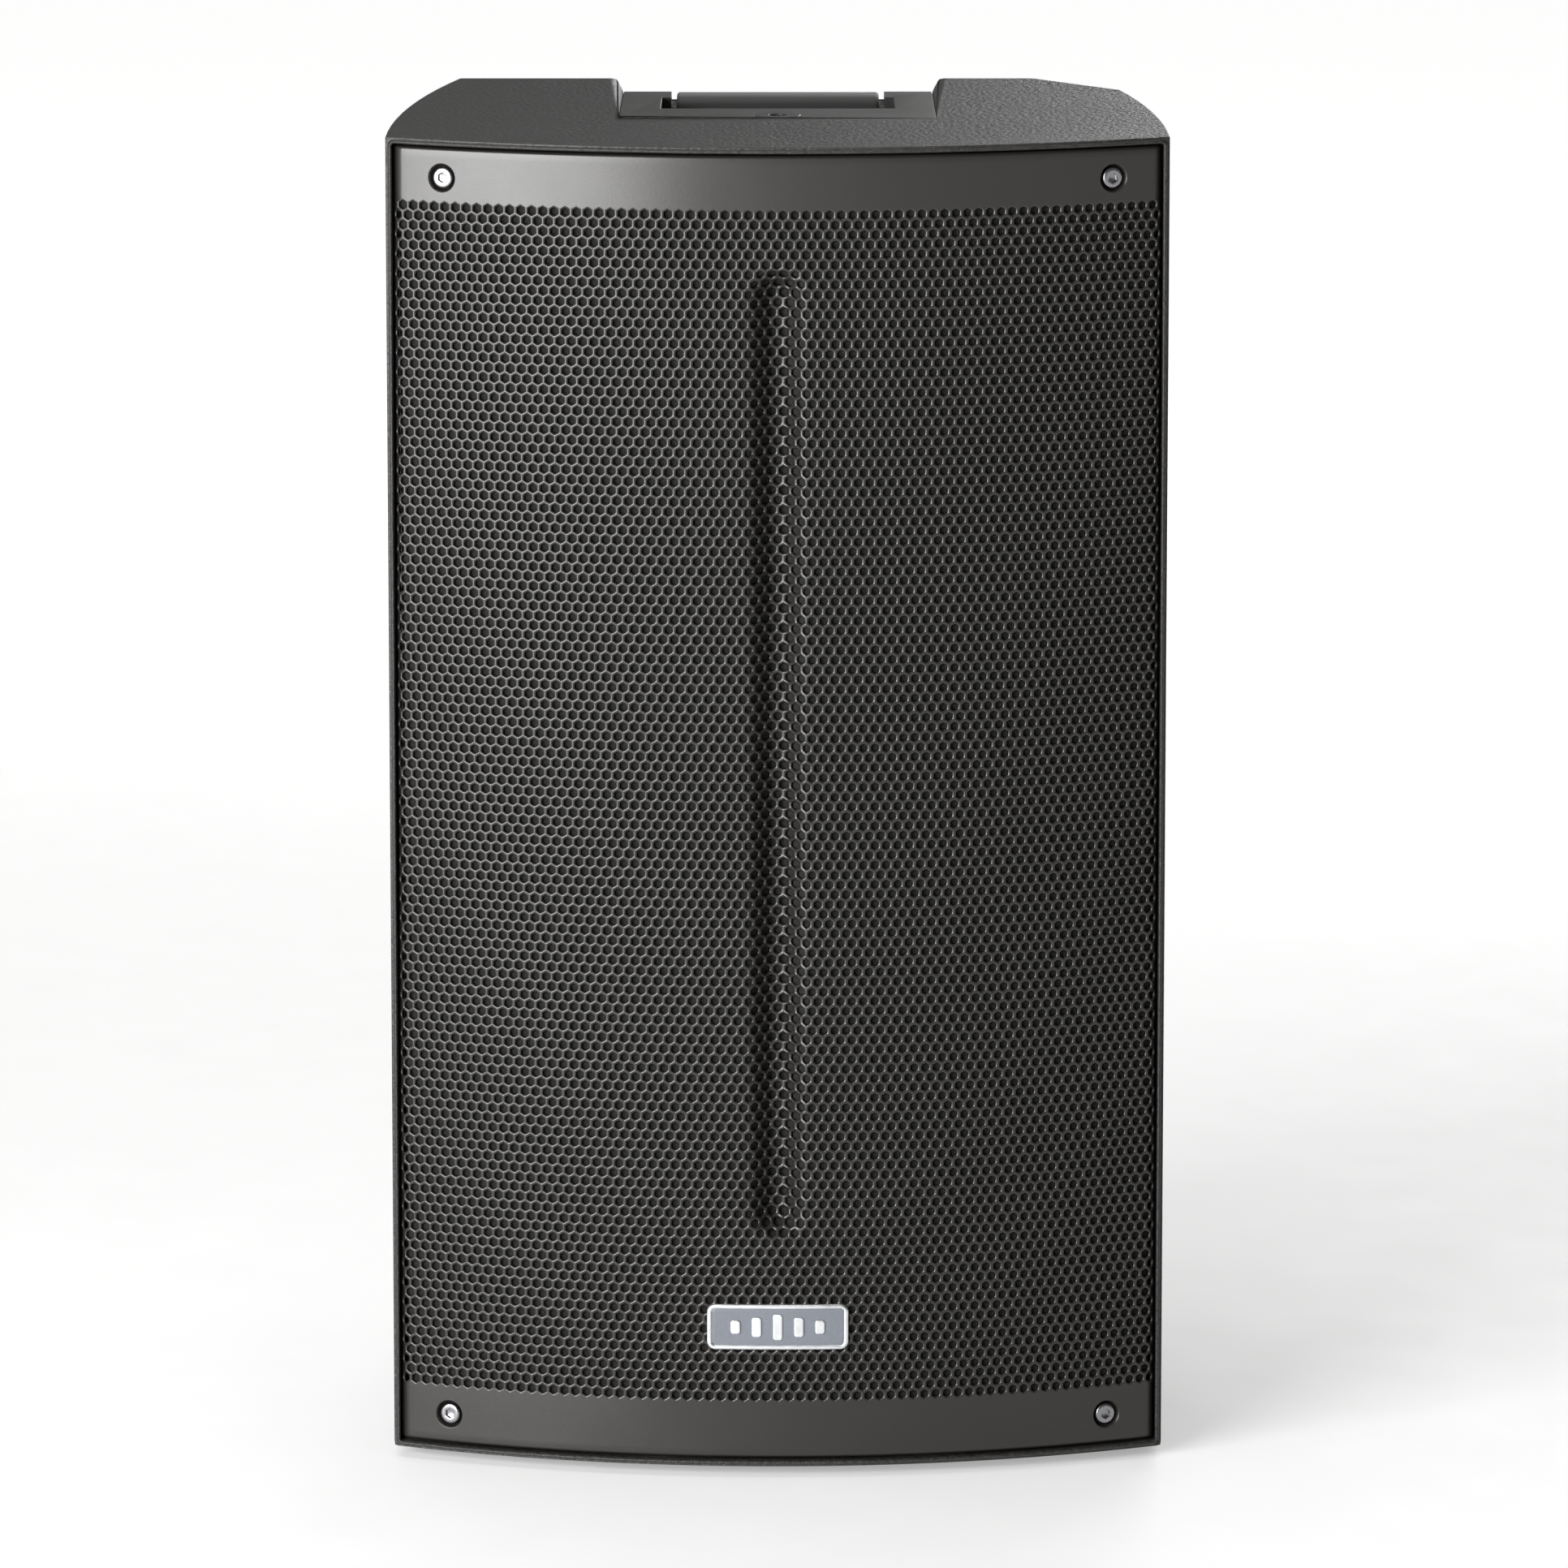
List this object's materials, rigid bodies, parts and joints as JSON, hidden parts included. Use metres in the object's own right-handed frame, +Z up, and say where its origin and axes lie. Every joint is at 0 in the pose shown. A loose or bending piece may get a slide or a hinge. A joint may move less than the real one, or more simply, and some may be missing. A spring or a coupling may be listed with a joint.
{
  "type": "pa speaker cabinet",
  "caption": "Powered two-way loudspeaker cabinet with a bowed perforated steel grille, recessed top handle, stand socket and rear amplifier.",
  "frame": {"origin": "on the floor under the middle of the cabinet's box", "axes": "+Z up, the grille faces -Y, +X is on the right of someone facing the grille"},
  "size_m": [0.366, 0.3299, 0.634],
  "materials": {
    "shell_plastic": "satin",
    "satin_plastic": "satin",
    "black_plastic": "satin",
    "grille_paint": "satin",
    "foam": "matte",
    "zinc_steel": "satin",
    "black_steel": "satin",
    "badge_metal": "satin",
    "rubber": "matte",
    "cone_paper": "matte",
    "copper_wire": "satin",
    "spider_cloth": "matte",
    "ferrite": "matte",
    "plated_iron": "satin",
    "wadding": "matte",
    "panel_aluminium": "satin",
    "circuit_board": "gloss",
    "coil_lacquer": "gloss",
    "capacitor_sleeve": "gloss",
    "wire_sleeve": "satin",
    "red_plastic": "satin",
    "grey_plastic": "satin",
    "titanium": "satin",
    "led_lens": "gloss"
  },
  "bodies": {
    "cabinet": {"cabinet_shell": "shell_plastic", "front_baffle": "black_plastic", "baffle_screws": "black_steel", "grille": "grille_paint", "grille_foam": "foam", "grille_screws": "zinc_steel", "badge_plate": "badge_metal", "badge_emblem": "badge_metal", "handle_tray": "satin_plastic", "handle_core": "black_steel", "handle_grip": "rubber", "handle_screws": "zinc_steel", "flying_inserts": "black_steel", "pole_socket": "satin_plastic", "pole_socket_screws": "zinc_steel", "rubber_feet": "rubber", "foot_screws": "zinc_steel", "woofer_basket": "black_steel", "woofer_gasket": "foam", "woofer_top_plate": "plated_iron", "woofer_magnet": "ferrite", "woofer_yoke": "plated_iron", "woofer_surround": "rubber", "woofer_spider": "spider_cloth", "woofer_screws": "zinc_steel", "woofer_terminals": "red_plastic", "horn": "black_plastic", "horn_screws": "black_steel", "driver_yoke": "plated_iron", "driver_magnet": "ferrite", "driver_top_plate": "plated_iron", "driver_rear_cover": "black_plastic", "driver_bolts": "zinc_steel", "port_tubes": "black_plastic", "damping_wadding": "wadding", "amp_panel": "panel_aluminium", "amp_gasket": "foam", "panel_screws": "black_steel", "heatsink": "panel_aluminium", "main_board": "circuit_board", "transformer": "coil_lacquer", "capacitors": "capacitor_sleeve", "speaker_wires": "wire_sleeve", "mains_inlet": "black_plastic", "rocker_frame": "black_plastic", "input_jacks": "black_plastic", "link_jack": "black_plastic", "control_bodies": "zinc_steel", "status_leds": "led_lens"},
    "woofer_moving": {"woofer_cone": "cone_paper", "woofer_dust_cap": "cone_paper", "woofer_voice_coil": "copper_wire"},
    "hf_diaphragm": {"driver_diaphragm": "titanium"},
    "knob_a": {"level_knob_a": "rubber"},
    "knob_b": {"level_knob_b": "rubber"},
    "rocker": {"power_rocker": "red_plastic"},
    "fuse_holder": {"fuse_drawer": "black_plastic"},
    "jack_latch_a": {"latch_a": "grey_plastic"},
    "jack_latch_b": {"latch_b": "grey_plastic"},
    "button": {"mode_button": "grey_plastic"}
  },
  "joints": [
    {"name": "woofer_stroke", "type": "slide", "parent": "cabinet", "child": "woofer_moving", "axis": [0, -1, 0], "range_m": [-0.006, 0.006], "stiffness_N_per_m": 3000},
    {"name": "diaphragm_stroke", "type": "slide", "parent": "cabinet", "child": "hf_diaphragm", "axis": [0, 1, 0], "range_m": [-0.0003, 0.0003], "stiffness_N_per_m": 4000},
    {"name": "knob_a_turn", "type": "hinge", "parent": "cabinet", "child": "knob_a", "pos_m": [-0.09574, 0.154, 0.245], "axis": [0, -1, 0], "range_deg": [0, 300]},
    {"name": "knob_b_turn", "type": "hinge", "parent": "cabinet", "child": "knob_b", "pos_m": [-0.05574, 0.154, 0.245], "axis": [0, -1, 0], "range_deg": [0, 300]},
    {"name": "rocker_tilt", "type": "hinge", "parent": "cabinet", "child": "rocker", "pos_m": [0.01126, 0.149, 0.188], "axis": [1, 0, 0], "range_deg": [-18, 0]},
    {"name": "fuse_drawer_slide", "type": "slide", "parent": "cabinet", "child": "fuse_holder", "axis": [0, 1, 0], "range_m": [0, 0.02]},
    {"name": "latch_a_press", "type": "slide", "parent": "cabinet", "child": "jack_latch_a", "axis": [0, -1, 0], "range_m": [0, 0.002], "stiffness_N_per_m": 600},
    {"name": "latch_b_press", "type": "slide", "parent": "cabinet", "child": "jack_latch_b", "axis": [0, -1, 0], "range_m": [0, 0.002], "stiffness_N_per_m": 600},
    {"name": "button_press", "type": "slide", "parent": "cabinet", "child": "button", "axis": [0, -1, 0], "range_m": [0, 0.0025], "stiffness_N_per_m": 500}
  ]
}
